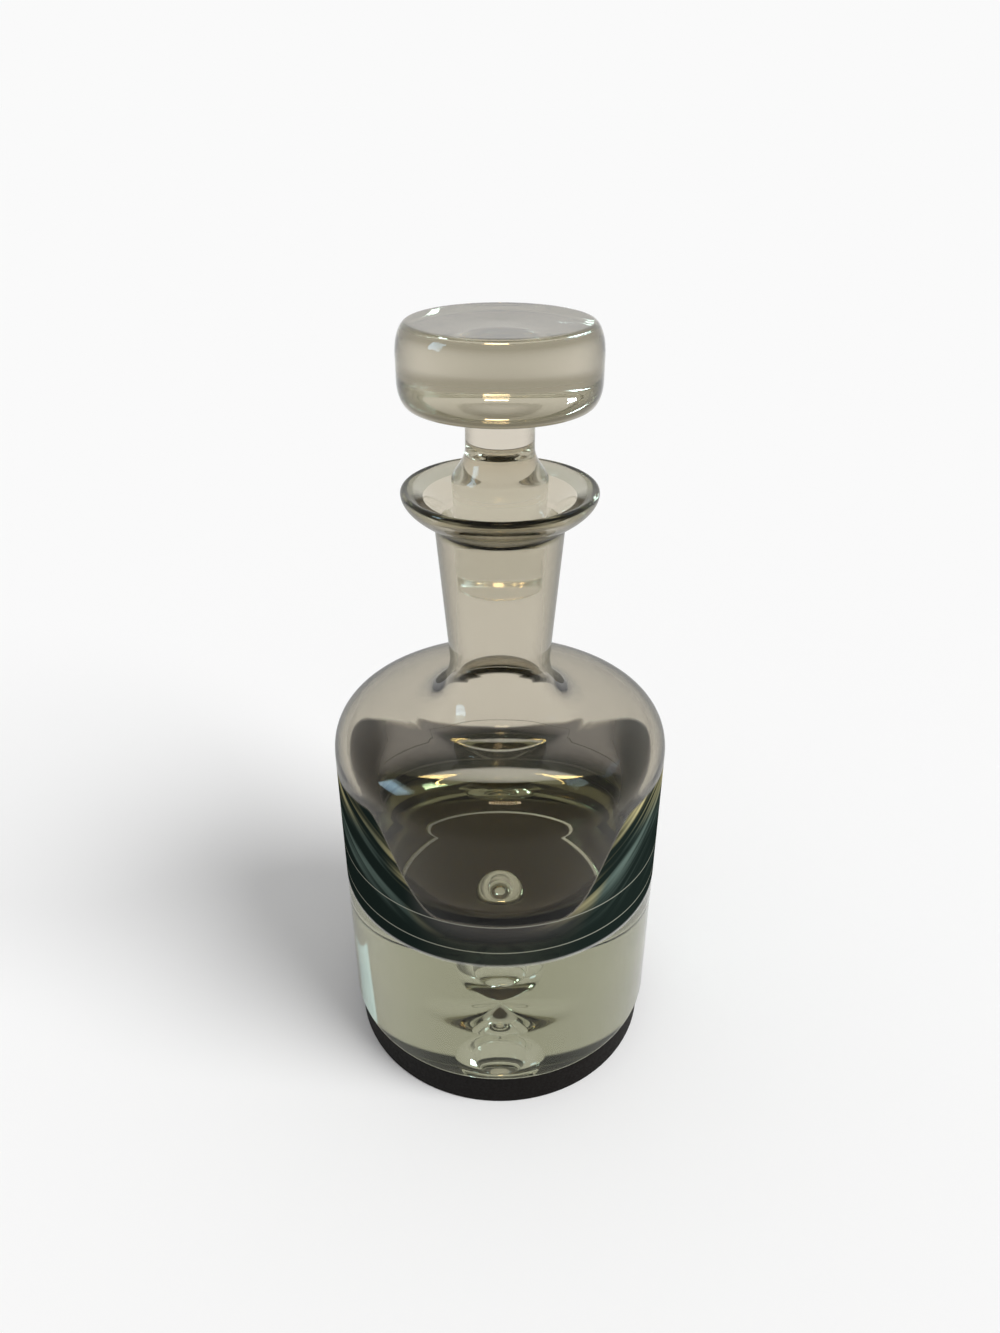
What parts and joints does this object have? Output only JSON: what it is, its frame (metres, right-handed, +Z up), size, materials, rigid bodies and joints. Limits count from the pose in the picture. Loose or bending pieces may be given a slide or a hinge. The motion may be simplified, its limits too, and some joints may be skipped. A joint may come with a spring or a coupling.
{
  "type": "glass decanter",
  "caption": "Straight-sided round glass decanter with a heavy clear base that holds a bubble, a tapering neck with a flared lip, and a lift-out ground stopper with a disc knob.",
  "frame": {"origin": "middle of the underside of the foot pad, on the surface that the decanter stands on", "axes": "+Z up along the axis of the decanter; the body is round, so X and Y are free"},
  "size_m": [0.11, 0.11, 0.253],
  "materials": {
    "smoked_glass": "fire-polished, faintly smoked warm grey",
    "clear_glass": "polished, clear with a pale olive cast",
    "foot_rubber": "matt moulded, black brown"
  },
  "bodies": {
    "decanter": {"foot_pad": "foot_rubber", "heavy_base": "clear_glass", "vessel": "smoked_glass"},
    "stopper": {"stopper": "clear_glass"}
  },
  "joints": [
    {"name": "stopper_lift", "type": "slide", "parent": "decanter", "child": "stopper", "axis": [0, 0, 1], "range_m": [0, 0.06]}
  ]
}
